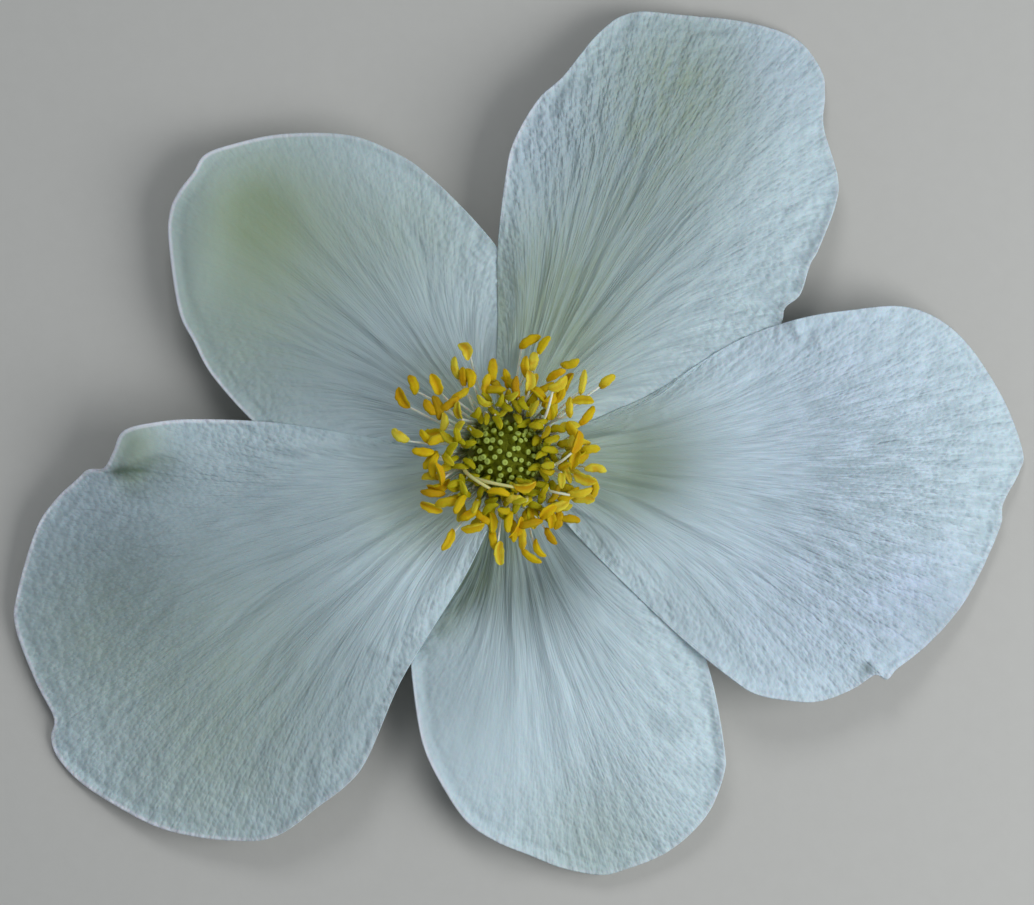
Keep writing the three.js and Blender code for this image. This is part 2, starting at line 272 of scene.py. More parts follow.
LOWER = {
    "name": "tepal_lower", "axis": -79, "claw": (-113, -45),
    "lift": (0, 0), "droop": 4.2, "curl": (0.3, 0.3), "press": (0, 0),
    "folds": [[3, -22, 4.5, -0.3], [9, -18, 4, 0.4], [-3.4, -7.6, 2.2, -0.6]],
    "creases": [["ridge", 1.5, -24.2, 9.5, -23.4, 0.8, -0.12]],
    # Painted shade: the grey and shade spots, and some of the green ones
    "green": [
        [5.5, -23.5, 4, 0.35], [0, -7, 3, 0.25], [-0.5, -5.2, 1.4, 0.8], [-1.9, -7.6, 1.3, 0.6],
        [-3.4, -9.9, 1.1, 0.4],
    ],
    "painted_shade_grey": [[-0.9, -5.8, 1.5, 0.8], [-2.3, -8, 1.5, 0.7], [1.5, -7, 4.5, 1], [-3.5, -14, 4, 0.5]],
    "shade": [
        [-0.6, -5.2, 0.9, 0.6], [-1.3, -6.5, 0.9, 0.6], [-2.1, -7.8, 0.9, 0.6],
        [-2.9, -9.1, 0.8, 0.5], [-3.7, -10.4, 0.7, 0.4], [-4.5, -11.7, 0.5, 0.25],
        [3.3, -7.2, 1.8, 0.18], [0.9, -8.7, 2.2, 0.15],
    ],
    "smooth": [[-2, -17, 6, 0.8], [6, -16, 7, 0.1]],
    "outline": [
        -2.4, -3.6, -4.5, -7.2, -5.6, -10.2, -5.6, -12.3, -5.2, -15.7, -4.7, -17.8, -3.6, -20,
        -2.3, -21.9, -0.6, -23.1, 1.5, -24, 3.5, -24.8, 5.8, -25.2, 7.4, -24.8, 9.4, -24, 11, -22.8,
        12.3, -21.2, 13.1, -19, 13.1, -17.6, 12.4, -13.7, 11.3, -10.5, 9.9, -8.4, 8.1, -6.3,
        5.7, -4.2, 3.6, -3,
    ],
}
UPPER_RIGHT = {
    "name": "tepal_upper_right", "axis": 64, "claw": (33, 96),
    "lift": (0.2, 1.15), "droop": 3.83, "curl": (0.1, 0.2), "press": (0, 1),
    "folds": [[20, 12, 3.5, 0.5], [12, 17, 5, 0.5], [6, 15, 4, -0.4]],
    "creases": [
        ["lip", 11.2, 26.4, 13.6, 24.2, 0.5, -0.2], ["ridge", 11.2, 25, 14.4, 25.2, 0.4, 0.15],
        ["ridge", 0.4, 8, 0.6, 18, 1, 0.2],
    ],
    # Painted shade: the grey and shade spots, and some of the green ones
    "green": [[3.3, 9.3, 5, 0.7], [10.5, 22, 4.5, 0.6], [2, 5.5, 3.5, 0.35], [8, 16, 5, 0.35]],
    "painted_shade_grey": [[7, 15, 6, 0.8], [11, 22, 5, 0.7], [3, 9, 4, 0.8], [0, 10, 3, 0.3]],
    "lilac": [[3, 18, 4, 0.5], [15, 23, 3.5, 0.5]],
    "shade": [[3.3, 9.3, 2.5, 0.12]],
    "crisp": [[4, 19, 5, 0.8], [9, 23, 5, 0.5], [15, 8, 7, 0.4]],
    "outline": [
        4.2, 1, 9.3, 1.8, 11.7, 3, 14.1, 4.5, 16.3, 7.5, 16.7, 8.8, 17.6, 9.6, 18.2, 11.4,
        18.7, 12.3, 19.8, 15.1, 19.9, 16.8, 19.1, 19.7, 19.2, 21.6, 19, 23.1, 17.5, 25, 14.5, 26,
        10.7, 26.4, 7.6, 26.5, 5.6, 25.2, 3.5, 22.6, 2, 21.2, 0.6, 18.8, 0.1, 16.8, -0.4, 12.3,
        -0.4, 7.5, -0.6, 4.6,
    ],
}
RIGHT = {
    "name": "tepal_right", "axis": -7, "claw": (-43, 30),
    "lift": (1.12, 1.5), "droop": 4.49, "curl": (0.1, 0.05), "press": (0.5, 1),
    "folds": [[22.5, -12.5, 3, 0.7], [24, -3, 5, 0.5]],
    "creases": [
        ["lip", 23.4, -13.1, 22, -12.3, 0.35, 0.35], ["ridge", 21.3, -12.6, 22.5, -13, 0.3, 0.1],
        ["ridge", 17.2, 8.2, 17.7, 6.8, 0.3, 0.22], ["ridge", 18.5, 7.6, 18.9, 6.2, 0.35, 0.15],
        ["groove", 5.5, 0.6, 14, 1.6, 0.35, -0.22], ["groove", 5.2, -0.3, 12, -0.3, 0.3, -0.22],
        ["groove", 5, -1.4, 11.5, -2.6, 0.3, -0.22],
    ],
    # Painted shade: the grey and shade spots, and some of the green ones
    "green": [[8, 1.5, 4, 0.3], [5.2, -0.6, 3, 0.35], [8.3, -1.2, 2.8, 0.3]],
    "painted_shade_grey": [[8.5, -0.3, 3.5, 1], [26.5, -10.5, 2, 0.5], [11, -9, 3, 0.3]],
    "lilac": [[20, 3, 8, 0.5], [18, -9, 6, 0.5], [25, -9, 4, 0.7]],
    "shade": [
        [5.8, -1.4, 1.5, 0.2], [5.7, -2.8, 1.1, 0.3], [6.4, -4.6, 1.3, 0.2], [8.6, -1.6, 2.2, 0.2],
        [21.6, -12.7, 0.35, 0.5],
    ],
    "crisp": [[24, 0, 7, 0.8], [22, -8, 6, 0.6]],
    "smooth": [[9, -1, 4, 0.6]],
    "outline": [
        3.3, -3.6, 4.8, -5.3, 7.8, -8.3, 10.9, -11.2, 13.5, -13.3, 14.9, -14.2, 16.7, -14.6,
        18.7, -14.7, 20.7, -14, 22.1, -13.1, 22.8, -13.4, 23.4, -12.8, 25.1, -11.5, 26.7, -9.9,
        28.1, -7.9, 29.7, -4.4, 29.9, -2.9, 30.9, -1, 31.1, 0.3, 29.8, 3.6, 27.2, 7.2, 24.2, 8.8,
        20.5, 8.6, 17.2, 8, 13.5, 6.6, 9.1, 3.8, 6.5, 2.6, 4.2, 1.6,
    ],
}
LEFT = {
    "name": "tepal_left", "axis": 205, "claw": (169, 265),
    "lift": (1.12, 1.12), "droop": 3.77, "curl": (0.1, 0), "press": (1, 0),
    "folds": [[-22, 0.5, 3, 0.7], [-18, -8, 5, 0.5]],
    "creases": [
        ["lip", -23.9, -0.95, -20.2, 0.1, 1.4, 0.3], ["groove", -23.2, -1.9, -19.6, -1, 0.5, -0.32],
        ["ridge", -8.1, -11.5, -6.7, -11.9, 0.3, 0.16],
        ["ridge", -1.6, -4.2, -5.6, -11.3, 0.6, 0.16],
    ],
    # Painted shade: the grey and shade spots, and some of the green ones
    "green": [
        [-22, 0.6, 1.8, 0.7], [-22.2, -1.3, 0.8, 0.4], [-5.5, -2, 3, 0.2], [-18, -19, 6, 0.4],
        [-16, -12, 6, 0.3], [-25, -11, 5, 0.35],
    ],
    "painted_shade_grey": [
        [-22.5, -1.4, 0.8, 0.9], [-21.3, -1.2, 1, 0.8], [-20, -0.8, 1.6, 0.5],
        [-17.5, -6.5, 8, 0.9], [-25, -7, 5, 0.5], [-11, -15, 6, 0.7],
    ],
    "lilac": [[-24, -5, 4, 0.5]],
    "shade": [
        [-23.2, -1, 0.3, 0.7], [-22.7, -0.95, 0.3, 0.7], [-22.2, -0.95, 0.32, 0.7],
        [-21.7, -0.85, 0.32, 0.6], [-21.2, -0.65, 0.35, 0.45], [-20.3, -0.4, 0.7, 0.25],
        [-11.1, -3.9, 3, 0.1],
    ],
    "crisp": [[-15, -1, 4, 0.8]],
    "smooth": [[-22, 0.6, 1.6, 1], [-14, -7, 6, 0.2]],
    "outline": [
        -4.5, 0.4, -9.1, 1.2, -13.7, 1.9, -18.4, 2.1, -20.9, 1.9, -22.7, 1.4, -23.3, 0.2,
        -23.9, -0.8, -24.9, -0.9, -25.6, -1.5, -26.9, -2.7, -28.1, -4.5, -29.3, -8.4, -29.4, -10.4,
        -28.2, -13.6, -27.1, -15.8, -27.3, -17, -26.9, -18.2, -25.5, -19.7, -23.3, -21.1,
        -20.9, -22.3, -18.4, -22.9, -16, -23.1, -14.4, -23, -13, -22.4, -11.2, -21, -9.4, -19.6,
        -8.2, -18, -6.4, -13.8, -4.7, -10.9, -2.4, -7.2, -1.1, -4.5,
    ],
}
# From the lowest layer up
TEPALS = [UPPER_LEFT, LOWER, UPPER_RIGHT, RIGHT, LEFT]

# Stamens: azimuth and reach of the anther from the flower's axis, and the heading of its long
# side, all seen from above
OUTER_STAMENS = [
    [151, 6.9, 118], [142, 6.8, 108], [134, 5.8, 113], [120, 5.9, 101], [110, 6.6, 120],
    [113, 5, 100], [118, 5.2, 95], [148, 5.2, 135], [144, 4.8, 105], [137, 4.4, 35],
    [126, 4.4, 30], [170, 6.3, 146], [168, 4.7, 139], [178, 4.8, 176], [98, 5.1, 90],
    [78, 6.9, 29], [71, 6.9, 57], [73, 5.8, 80], [77, 5.3, 95], [71, 4.6, 87], [54, 6.6, 15],
    [58, 5.6, 30], [49, 5.7, 67], [47, 4.9, 70], [43, 6.3, 80], [36, 7.4, 40], [36, 4.7, 90],
    [35, 5.6, 0], [25, 5.4, 52], [4, 5, 8], [-8, 5.4, -5], [-17, 4.9, -20], [-21, 5.7, 80],
    [-28, 5.2, -5], [-44, 4.4, 20], [-44, 5.4, -5], [-50, 5, 80], [-54, 4.6, 100],
    [-61, 5.5, -57], [-69, 4.3, 15], [-78, 5, 92], [-71, 5.9, -60], [-76, 6.2, -35],
    [-94, 5.8, 92], [-98, 5, 100], [-114, 4.6, 12], [-123, 6, 63], [-152, 4.8, 175],
    [-145, 5.3, 160], [-141, 4.4, 8],
]
INNER_STAMENS = [
    [81, 4, 95], [61, 4.1, 137], [12, 4.1, 65], [-3, 4.1, 75], [-23, 3.6, 88], [-38, 3.8, 60],
    [-53, 4.1, 40], [-87, 3.9, 80], [-100, 4, 95], [-121, 4.1, 32], [-164, 3.95, 105],
    [99, 3.9, 0], [166, 4, 20], [137, 3.75, 100], [43, 3.7, 100], [125, 2.9, 45], [58, 3.2, 60],
    [18, 3, 20], [28, 2.8, 60], [7, 2.7, -10], [42, 2.6, -5], [-13, 2.7, 5], [-22, 2.8, -5],
    [-44, 3.15, 65], [-107, 3.24, 35], [-139, 3.2, 95], [-150, 3.3, 10], [-120, 3.4, 70],
    [-90, 3.3, 0], [-65, 3, 40], [-74, 2.8, 5], [148, 3.2, 60], [158, 3, 100], [173, 3.2, 60],
    [-176, 3.4, 130], [112, 3.3, 150], [95, 3.1, 60], [72, 3.2, 120], [84, 3.4, 20],
    [105, 4.3, 80], [-32, 4.5, 30], [-110, 3.9, 140], [152, 4, 80], [20, 4.2, 120],
    [-10, 3.5, 30], [-133, 3.9, 60], [50, 4.2, 40], [88, 4.5, 100], [-172, 4.3, 80],
    [-80, 4.4, 60],
]

# Stamens that fill the ring from below, by rule: how many, how far out and how much lower
LOWER_WHORLS = [
    [15, 2.25, 0.6], [17, 2.45, 1], [20, 2.9, 0.7], [24, 3.5, 0.6], [26, 4.3, 0.55],
]

# Stamens whose threads lie over the edge of the head or over other stamens: azimuth of the
# root, azimuth, reach and heading of the anther, how far it has opened, and how thick and
# how yellow the thread is
CROSSING_STAMENS = [
    [-155, -57, 2.2, 8, 1, 1.5, 0.85], [-165, -98, 2.15, -12, 0, 1.5, 0.85],
    [-62, -75, 2.7, 170, 0, 1.5, 0.85], [-16, 10, 4.3, 72, 0.8, 1.1, 0.3],
    [-44, -27, 5, 12, 0, 1.1, 0.3], [38, 52, 5.2, 35, 0.3, 1.1, 0.1],
]

UPWARD = np.array([0, 0, 1])
low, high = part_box("receptacle_and_stalk")
ORIGIN = np.array([(low.x + high.x) / 2, (low.y + high.y) / 2, low.z - STALK_BOTTOM * MM])


def lerp(start, end, share):
    return start + (end - start) * share


def smoothstep(value, start, end):
    share = np.clip((value - start) / (end - start), 0, 1)
    return share * share * (3 - 2 * share)


def plateau(value, start, full, fading, end):
    """1 between the two inner limits, falling smoothly to 0 at the outer ones."""
    return smoothstep(value, start, full) * (1 - smoothstep(value, fading, end))


def polar(radius, degrees):
    angle = np.radians(degrees)
    return np.stack([radius * np.cos(angle), radius * np.sin(angle)], axis=-1)


def unit(vectors):
    return vectors / np.linalg.norm(vectors, axis=-1, keepdims=True)


def jitter(i, k):
    """A repeatable spread from -1 to 1 for piece i and purpose k."""
    value = np.sin(i * 127.1 + k * 311.7) * 43758.5453
    return 2 * (value - np.floor(value)) - 1


def noise(x, y, seed):
    """Smooth noise over a plane, about -1 to 1, with one feature to the unit."""
    left, down = np.floor(x), np.floor(y)
    total = 0
    for i, j in ((0, 0), (0, 1), (1, 0), (1, 1)):
        turn = math.pi * jitter(left + i, down + j + 17.3 * seed)
        away = np.stack([x - left - i, y - down - j])
        slope = np.cos(turn) * away[0] + np.sin(turn) * away[1]
        near = 1 - smoothstep(np.abs(away), 0, 1)
        total = total + slope * near[0] * near[1]
    return 1.6 * total


def ridges(x, y, seed):
    """Sharp ridges with round furrows between them, from -1 to 1."""
    return 1 - 2 * np.minimum(np.abs(noise(x, y, seed)) * 1.6, 1)


# Shapes are (points, faces, marks): points in millimetres, and under the name of each mark
# a number for each point

def joined(shapes):
    """Several shapes as one."""
    points, faces, marks = [], [], {}
    start = 0
    for shape_points, shape_faces, shape_marks in shapes:
        points.append(shape_points)
        faces.extend([[start + corner for corner in face] for face in shape_faces])
        for name, values in shape_marks.items():
            marks.setdefault(name, []).append(np.broadcast_to(values, len(shape_points)))
        start += len(shape_points)
    return np.concatenate(points), faces, {name: np.concatenate(v) for name, v in marks.items()}


def grid_faces(rows, columns, closed=False):
    """Four-sided faces of a grid of points, row after row. A closed grid has its last column
    joined to its first."""
    last = columns if closed else columns - 1
    row, column = np.meshgrid(np.arange(rows - 1), np.arange(last), indexing="ij")
    beside = (column + 1) % columns
    corners = [
        row * columns + column, row * columns + beside,
        (row + 1) * columns + beside, (row + 1) * columns + column,
    ]
    return np.stack([corner.ravel() for corner in corners], axis=1).tolist()


def closed_rings(rings, marks):
    """Rings of points, from one end of a body to the other, skinned and closed at both ends."""
    rows, sides = rings.shape[:2]
    faces = grid_faces(rows, sides, closed=True)
    faces.append(list(range(sides))[::-1])
    faces.append(list(range((rows - 1) * sides, rows * sides)))
    flat = {name: np.broadcast_to(values, (rows, sides)).ravel() for name, values in marks.items()}
    return rings.reshape(-1, 3), faces, flat


def ring_angles(sides):
    return np.linspace(0, 2 * math.pi, sides, endpoint=False)


def rings_along(path, radii, across, over, sides):
    """Round rings along a path, in the plane of the directions across and over."""
    angle = ring_angles(sides)[:, None]
    ring = np.cos(angle) * across[..., None, :] + np.sin(angle) * over[..., None, :]
    return path[:, None] + radii[:, None, None] * ring


def tube(path, radii, sides, beside, marks):
    """A round body along a path. beside is a direction across the path."""
    along = unit(np.gradient(path, axis=0))
    across = unit(beside - (along @ beside)[:, None] * along)
    return closed_rings(rings_along(path, radii, across, np.cross(along, across), sides), marks)


def turned(profile, sides):
    """Rings round the flower's axis through [radius, height] points."""
    angle = ring_angles(sides)
    radius, height = np.array(profile, float).T[..., None]
    return np.stack([radius * np.cos(angle), radius * np.sin(angle), height + 0 * angle], axis=-1)


def bezier(root, bend, end, share):
    share = share[..., None]
    return (1 - share) ** 2 * root + 2 * share * (1 - share) * bend + share ** 2 * end


def above(radius, azimuth, height):
    """A point over the plan, by its distance from the axis, azimuth and height."""
    return np.append(polar(radius, azimuth), height)


def make_piece(name, shape, material, node):
    """An object of a shape, in the part's frame, which stands for a node of the part."""
    points, faces, marks = shape
    mesh = bpy.data.meshes.new(name)
    mesh.from_pydata((ORIGIN + points * MM).tolist(), [], faces)
    for mark, values in marks.items():
        layer = mesh.attributes.new(mark, "FLOAT", "POINT")
        layer.data.foreach_set("value", values.astype(np.float32))
    mesh.shade_smooth()
    mesh.materials.append(material)
    piece = linked(name, mesh)
    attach(piece, "root")
    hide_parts(node)


# Tepals

def spline(points, position):
    """Points on a smooth curve through the given ones, at positions counted in points."""
    last = len(points) - 1
    index = np.minimum(position.astype(int), last - 1)
    share = (position - index)[:, None]
    before = points[np.maximum(index - 1, 0)]
    start, end = points[index], points[index + 1]
    after = points[np.minimum(index + 2, last)]
    leave, arrive = (end - before) / 2, (after - start) / 2
    return (
        (2 * start - 2 * end + leave + arrive) * share ** 3
        + (3 * end - 3 * start - 2 * leave - arrive) * share ** 2
        + leave * share + start
    )


def spots(tepal, kind, x, y):
    """A tepal's soft round spots of one kind, added up at each point of the plan."""
    total = 0 * x
    for spot_x, spot_y, width, strength in tepal.get(kind, []):
        away = np.hypot(x - spot_x, y - spot_y) / width
        total = total + strength * np.exp(-away ** 2)
    return total


def blade_height(tepal, x, y):
    """Height of the middle of a tepal over a point of the plan: its solid's, but closer to
    the tepals beneath it where they overlap."""
    radius = np.hypot(x, y)
    from_axis = (np.degrees(np.arctan2(y, x)) - tepal["axis"] + 180) % 360 - 180
    start, end = tepal["claw"]
    side = smoothstep(from_axis, start - tepal["axis"], end - tepal["axis"])
    lift = lerp(*tepal["lift"], side)
    lift = lift * (1 - SETTLE_SHARE * plateau(radius, *SETTLE_RADII))
    bowl = BOWL_RISE * (1 - np.exp((CLAW_RADIUS - radius) / BOWL_LENGTH))
    beyond = np.maximum(radius - CREST_RADIUS, 0) / DROOP_LENGTH
    droop = tepal["droop"] * beyond ** 2
    return CLAW_HEIGHT + lift + bowl - droop + spots(tepal, "folds", x, y)


def crease_height(tepal, x, y):
    """Height of a blade's ridges, furrows and turned-over edges."""
    height = 0 * x
    for form, start_x, start_y, end_x, end_y, width, rise in tepal["creases"]:
        run_x, run_y = end_x - start_x, end_y - start_y
        length = math.hypot(run_x, run_y)
        ahead = ((x - start_x) * run_x + (y - start_y) * run_y) / length
        aside = ((y - start_y) * run_x - (x - start_x) * run_y) / length
        start = LIP_EDGE if form == "lip" else width
        full = length / 3 if form == "groove" else length - width
        profile = np.exp(-(aside / width) ** 2)
        if form == "lip":
            profile = np.exp(-np.maximum(aside, 0) / (3 * width))
            profile = profile * smoothstep(aside, -LIP_EDGE, LIP_EDGE)
        height = height + rise * profile * plateau(ahead, -start, start, full, length + width)
    return height


def blurred(values, passes):
    """A grid of values, each drawn towards its neighbours' again and again."""
    for _ in range(passes):
        padded = np.pad(values, 1, mode="edge")
        around = padded[:-2, 1:-1] + padded[2:, 1:-1] + padded[1:-1, :-2] + padded[1:-1, 2:]
        values = (around + 2 * values) / 6
    return values


def laid_on(beneath, x, y, bottom, pressed):
    """Height of a blade's lower face, point by point, so that it lies on the blades beneath
    it: raised where it would cut into them, and drawn down to them where it is pressed."""
    gap = np.full(bottom.shape, np.inf)
    for tree in beneath:
        for index in np.ndindex(gap.shape):
            hit = tree.ray_cast((x[index], y[index], 2 * INNER_HEIGHT), (0, 0, -1))[0]
            if hit is not None:
                gap[index] = min(gap[index], bottom[index] - hit.z - LAYER_GAP)
    rise = np.maximum(-gap, 0)
    draped = blurred(np.maximum(rise, blurred(rise, BLUR_PASSES)), SOFTENING_PASSES)
    room = np.maximum(gap, 0)
    fall = blurred(np.where(np.isfinite(gap), room, 0) * pressed, BLUR_PASSES)
    return bottom + draped - np.minimum(fall, room)


def blade_plan(tepal):
    """Plan of a blade: points by row from the claw to the margin and by vein across, each
    with its share of the way across and along, and its vein. Veins are counted along the
    margin, but fewer where it runs outward than where it runs round the flower."""
    outline = np.reshape(tepal["outline"], (-1, 2))
    steps = np.linalg.norm(np.diff(outline, axis=0), axis=1)
    shares = np.append(0, np.cumsum(steps)) / steps.sum()
    columns = round(steps.sum() / VEIN_SPACING) * COLUMNS_PER_VEIN
    across = np.linspace(0, 1, columns + 1)
    edge = spline(outline, np.interp(across, shares, np.arange(len(outline))))
    moves = np.diff(edge, axis=0)
    outward = unit(edge[:-1])
    around = np.abs(outward[:, 0] * moves[:, 1] - outward[:, 1] * moves[:, 0])
    spread = lerp(np.linalg.norm(moves, axis=1), around, ROUND_SHARE)
    vein = np.append(0, np.cumsum(spread)) / VEIN_SPACING
    start, end = tepal["claw"]
    azimuth = lerp(start - CLAW_OVERLAP, end + CLAW_OVERLAP, across)
    root = polar(CLAW_RADIUS, azimuth)
    chord = edge - root
    heading = unit(lerp(polar(1, tepal["axis"]), unit(chord), VEIN_BEND))
    bend = root + heading * np.linalg.norm(chord, axis=1, keepdims=True) / 2
    along = 1 - (1 - np.linspace(0, 1, BLADE_ROWS + 1)) ** ROW_CROWDING
    plan = bezier(root, bend, edge, np.broadcast_to(along[:, None], (len(along), len(across))))
    inside = polar(CLAW_RADIUS - ROOT_INSIDE, azimuth)
    plan = np.concatenate([inside[None], plan])
    along = np.append(0, along)[:, None]
    return plan, across + 0 * along, along + 0 * across, vein + 0 * along


def rim_distance(plan):
    """How far each point of a blade's plan lies from its free edge, and how far that edge
    faces left, from -1 to 1."""
    sides = plan[FIRST_FREE_ROW:]
    free = np.concatenate([plan[-1], sides[:, 0], sides[:, -1]])
    tree = KDTree(len(free))
    for index, point in enumerate(free):
        tree.insert((*point, 0), index)
    tree.balance()
    nearest = [tree.find((*point, 0)) for point in plan.reshape(-1, 2)]
    distance = np.array([found[2] for found in nearest]).reshape(plan.shape[:2])
    middle = plan.mean(axis=(0, 1))
    facing = unit(middle - np.array([found[0][:2] for found in nearest]))[:, 0]
    return distance, facing.reshape(plan.shape[:2])


def waves(form, kind, vein, reach, sway, seed):
    """Waves of one kind over a blade, in the form of noise or ridges."""
    veins, count, swaying, apart = kind
    return form(vein / veins + swaying * sway, reach * count, seed + apart)


def relief(plan, vein, along, crispness, seed):
    """Height of a blade's pleats, ribs, streaks and wrinkles over its smooth form, and the painted
    shade that each point gets for lying deep in the furrows between them, from 0 to about 1."""
    x, y = plan[..., 0], plan[..., 1]
    reach = np.hypot(x, y) / REACH_SCALE
    sway = SWAY * waves(noise, SWAYING, vein, reach, 0, seed)
    place = (vein, reach, sway, seed)
    pleats = waves(noise, PLEATS, *place) * plateau(along, *PLEAT_SPAN)
    ribs = waves(noise, RIBS, *place) * plateau(along, *RIB_SPAN)
    billows = waves(noise, BILLOWS, *place) * smoothstep(along, *BILLOW_START)
    coarse = waves(ridges, COARSE_STREAKS, *place)
    fine = waves(ridges, FINE_STREAKS, *place)
    streaks = lerp(coarse, fine, smoothstep(along, *FINER_STREAKS))
    streaks = streaks * smoothstep(along, *STREAK_START)
    crinkles = ridges(x / CRINKLE_SIZE + sway, y / CRINKLE_SIZE, seed + CRINKLE_NOISE)
    crinkles = crinkles * smoothstep(along, *CRINKLE_START)
    height = PLEAT_HEIGHT * pleats + RIB_HEIGHT * ribs + BILLOW_HEIGHT * billows
    height = height + crispness * (STREAK_HEIGHT * streaks + CRINKLE_HEIGHT * crinkles)
    furrow_shade = PLEAT_SHADE * smoothstep(-pleats, *PLEAT_DEPTHS)
    furrow_shade = furrow_shade + RIB_SHADE * smoothstep(-ribs, *RIB_DEPTHS)
    return height, furrow_shade + STREAK_SHADE * crispness * smoothstep(-streaks, *STREAK_DEPTHS)


def curl_height(tepal, side, radius, vein, from_rim, seed):
    """How far a blade's margin curls up, unevenly, and less near the claw."""
    near_claw = lerp(*tepal["curl"], side)
    curl = lerp(near_claw, 1, smoothstep(radius, *CURL_RADII))
    curl = curl * (1 + CURL_UNEVENNESS * waves(noise, CURLS, vein, radius, 0, seed))
    return CURL_HEIGHT * curl * np.exp(-(from_rim / CURL_WIDTH) ** 2)


def blade_skin(plan, top, bottom):
    """Points of a blade's skin: rows from the claw over the upper face, round the margin and
    back under."""
    upper = np.concatenate([plan, top[..., None]], axis=-1)
    lower = np.concatenate([plan, bottom[..., None]], axis=-1)
    tangent = unit(np.gradient(plan[-1], axis=0))
    outward = np.stack([tangent[:, 1], -tangent[:, 0]], axis=-1)
    edge = plan[-1] + outward * RIM_THICKNESS / 2
    rim = np.append(edge, (top[-1] + bottom[-1])[:, None] / 2, axis=-1)
    return np.concatenate([upper, rim[None], lower[::-1]])


def skin_faces(rows, columns):
    """Faces of a blade's skin, with strips that close its sides, down to a triangle at the
    rim, and its root."""
    faces = grid_faces(rows, columns)
    for column in (0, columns - 1):
        side = [row * columns + column for row in range(rows)]
        for row in range(rows // 2):
            strip = side[row:row + 2] + side[max(row + 2, rows - row - 2):rows - row]
            faces.append(strip if column == 0 else strip[::-1])
    last = (rows - 1) * columns
    for column in range(columns - 1):
        faces.append([column + 1, column, last + column, last + column + 1])
    return faces


def blade(tepal, seed, beneath):
    """One tepal as a thin closed sheet. beneath holds the blades that it may lie on."""
    plan, across, along, vein = blade_plan(tepal)
    x, y = plan[..., 0], plan[..., 1]
    radius = np.hypot(x, y)
    side = smoothstep(across, *SIDE_BLEND)
    from_rim, facing_left = rim_distance(plan)
    pressed = lerp(*tepal["press"], side)
    at_rim = RIM_THICKNESS * (1 - PRESSED_THINNING * pressed)
    at_claw = 1 - smoothstep(along, 0, CLAW_SHARE)
    thickness = lerp(at_rim, BLADE_THICKNESS, smoothstep(from_rim, 0, RIM_WIDTH))
    thickness = lerp(thickness, CLAW_THICKNESS, at_claw)
    crispness = 1 + spots(tepal, "crisp", x, y) - spots(tepal, "smooth", x, y)
    crispness = np.clip(crispness, *CRISPNESS_LIMITS)
    height, furrow_shade = relief(plan, vein, along, crispness, seed)
    curl = curl_height(tepal, side, radius, vein, from_rim, seed)
    local = (crease_height(tepal, x, y) + curl) * (1 - at_claw)
    bottom = blade_height(tepal, x, y) - SOLID_THICKNESS / 2 + height + local
    bottom = laid_on(beneath, x, y, bottom, pressed * np.exp(-(from_rim / PRESS_WIDTH) ** 2))
    bottom = np.maximum(bottom, LOWEST)
    skin = blade_skin(plan, bottom + thickness, bottom)
    marks = {
        "vein": vein, "along": along, "reach": radius / REACH_SCALE, "from_rim": from_rim,
        "facing_left": facing_left, "furrow_shade": furrow_shade, "crispness": crispness,
    }
    for name in TINTS_AND_PAINTED_SHADE:
        marks[name] = spots(tepal, name, x, y)
    for name, upper in marks.items():
        marks[name] = np.concatenate([upper, upper[-1:], upper[::-1]]).ravel()
    return skin.reshape(-1, 3), skin_faces(*skin.shape[:2]), marks


# Stamens

def anther(middle, direction, size, olive, openness, index):
    """Two sacs side by side with a groove between them, above and below. An open anther is
    flatter and wider, with its sides curled up from a deep groove."""
    length = size * ANTHER_LENGTH * (1 + LENGTH_SPREAD * jitter(index, 5))
    width = size * ANTHER_WIDTH * (1 + WIDTH_SPREAD * jitter(index, 6) + OPEN_WIDENING * openness)
    depth = size * ANTHER_DEPTH * (1 - OPEN_FLATTENING * openness)
    rings, sides = 15, 18
    along = np.sin(np.linspace(-LAST_RING, LAST_RING, rings) * math.pi / 2)[:, None]
    angle = ring_angles(sides)
    bumps = np.sin(7 * along + 3 * jitter(index, 19))
    bumps = bumps + np.sin(11 * along + 5 * jitter(index, 25) + angle)
    bluntness, roundness = END_FULLNESS
    girth = (1 - np.abs(along) ** bluntness) ** roundness * (1 + BUMP_HEIGHT * bumps)
    groove = np.exp(-(np.cos(angle) / GROOVE_WIDTH) ** 2)
    lengthwise = length / 2 * along * (1 - END_NOTCH * groove)
    sideways = width / 2 * girth * np.cos(angle) + SIDE_BOW * jitter(index, 7) * along ** 2
    sunk = (GROOVE_DEPTH + OPEN_GROOVE * openness) * groove
    upward = depth / 2 * girth * np.sin(angle) * (1 - sunk)
    upward = upward + OPEN_CURL * openness * np.cos(angle) ** 2 * girth
    upward = upward - DOWN_BOW * (1 + jitter(index, 8)) * along ** 2
    roll = (ROLL + OPEN_ROLL * openness) * jitter(index, 9)
    across = unit(np.cross(UPWARD, direction))
    over = np.cross(direction, across)
    across, over = (
        math.cos(roll) * across + math.sin(roll) * over,
        math.cos(roll) * over - math.sin(roll) * across,
    )
    points = (
        middle + lengthwise[..., None] * direction
        + sideways[..., None] * across + upward[..., None] * over
    )
    marks = {
        "groove": groove, "edge": np.abs(np.cos(angle)) ** 5, "olive": olive,
        "open": openness, "shade": 0.5 + 0.5 * jitter(index, 10),
    }
    return closed_rings(points, marks)


def thread(root, bend, end, girth=1, yellow=0):
    """A pale thread from the ring to the base of an anther."""
    rings, sides = 13, 7
    share = np.linspace(0, 1, rings)
    path = bezier(root, bend, end - THREAD_SUNK * UPWARD, share)
    radii = girth * lerp(*THREAD_RADII, share)
    beside = np.append(unit(np.array([-root[1], root[0]])), 0)
    return tube(path, radii, sides, beside, {"along": share[:, None], "yellow": yellow})


